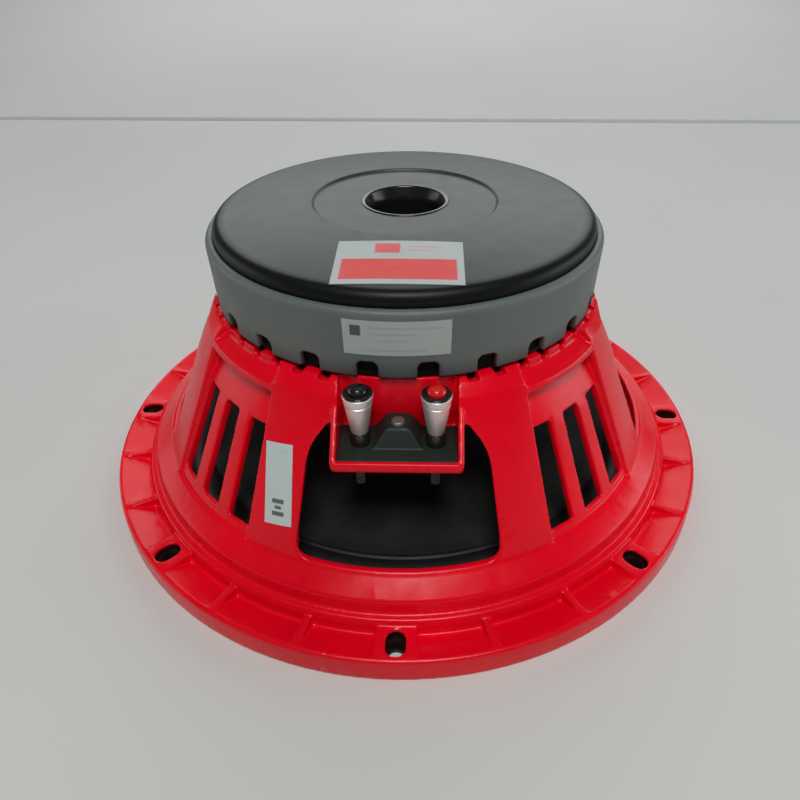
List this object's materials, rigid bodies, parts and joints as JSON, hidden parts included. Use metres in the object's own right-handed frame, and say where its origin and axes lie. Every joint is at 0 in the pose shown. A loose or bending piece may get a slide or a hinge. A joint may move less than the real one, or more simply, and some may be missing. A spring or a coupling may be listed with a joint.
{
  "type": "car subwoofer speaker",
  "caption": "Round subwoofer driver with a vented cast basket, a large booted magnet with a central vent, a paper cone on a rubber surround and spring push terminals.",
  "frame": {"origin": "centre of the flange's front face, on the driver's axis", "axes": "+Z along the driver's axis from the mounting face to the magnet; -Y towards the terminals"},
  "size_m": [0.315, 0.315, 0.1399],
  "materials": {
    "basket_paint": "satin-gloss red powder coat on cast aluminium",
    "gasket_rubber": "matt black foam rubber",
    "zinc_steel": "zinc-plated turned steel",
    "black_steel": "black oxide",
    "ferrite": "matt sintered ferrite",
    "grey_paint": "satin dark grey paint on steel",
    "vent_plastic": "polished black",
    "bare_aluminium": "machined",
    "boot_rubber": "satin dark grey moulded rubber",
    "surround_rubber": "satin black",
    "spider_cloth": "resin-stiffened woven cloth",
    "board_plastic": "matt charcoal",
    "nickel": "bright nickel plate",
    "black_plastic": "glossy black",
    "red_plastic": "glossy red",
    "label_rear": "pale grey printed sheet with a red block",
    "label_boot": "off-white printed sheet",
    "label_arm": "off-white sheet",
    "spring_steel": "bright drawn wire",
    "tinned_brass": "tinned",
    "tinsel_braid": "copper braid over a cotton core",
    "cone_paper": "pressed charcoal pulp",
    "cap_paper": "pressed charcoal pulp, satin",
    "former_film": "amber polyimide film",
    "copper_winding": "enamelled copper wire"
  },
  "bodies": {
    "root": {"basket_flange": "basket_paint", "basket_arms": "basket_paint", "basket_seat": "basket_paint", "front_gasket": "gasket_rubber", "top_plate": "zinc_steel", "motor_bolts": "black_steel", "magnet_front": "ferrite", "magnet_rear": "ferrite", "yoke": "grey_paint", "vent_flare": "vent_plastic", "shorting_ring": "bare_aluminium", "magnet_boot": "boot_rubber", "surround": "surround_rubber", "spider": "spider_cloth", "terminal_board": "board_plastic", "board_rivet": "nickel", "post_insulators": "black_plastic", "terminal_nuts": "nickel", "rear_label": "label_rear", "boot_label": "label_boot", "arm_label": "label_arm", "post_left": "nickel", "post_right": "nickel", "collar_left": "black_plastic", "collar_right": "black_plastic", "button_spring_left": "spring_steel", "button_spring_right": "spring_steel", "solder_lug_left": "tinned_brass", "solder_lug_right": "tinned_brass", "tinsel_lead_left": "tinsel_braid", "tinsel_lead_right": "tinsel_braid"},
    "diaphragm": {"cone": "cone_paper", "dust_cap": "cap_paper", "coil_former": "former_film", "voice_coil": "copper_winding", "lead_eyelets": "tinned_brass"},
    "button_black": {"push_button_black": "black_plastic", "plunger_left": "nickel"},
    "button_red": {"push_button_red": "red_plastic", "plunger_right": "nickel"}
  },
  "joints": [
    {"name": "cone_travel", "type": "slide", "parent": "root", "child": "diaphragm", "axis": [0, 0, -1], "range_m": [-0.008, 0.008], "stiffness_N_per_m": 4500, "deforming": ["surround", "spider", "tinsel_lead_left", "tinsel_lead_right"]},
    {"name": "press_black", "type": "slide", "parent": "root", "child": "button_black", "axis": [0, 0, -1], "range_m": [0, 0.0028], "stiffness_N_per_m": 700, "springref_m": -0.002, "deforming": ["button_spring_left"]},
    {"name": "press_red", "type": "slide", "parent": "root", "child": "button_red", "axis": [0, 0, -1], "range_m": [0, 0.0028], "stiffness_N_per_m": 700, "springref_m": -0.002, "deforming": ["button_spring_right"]}
  ]
}
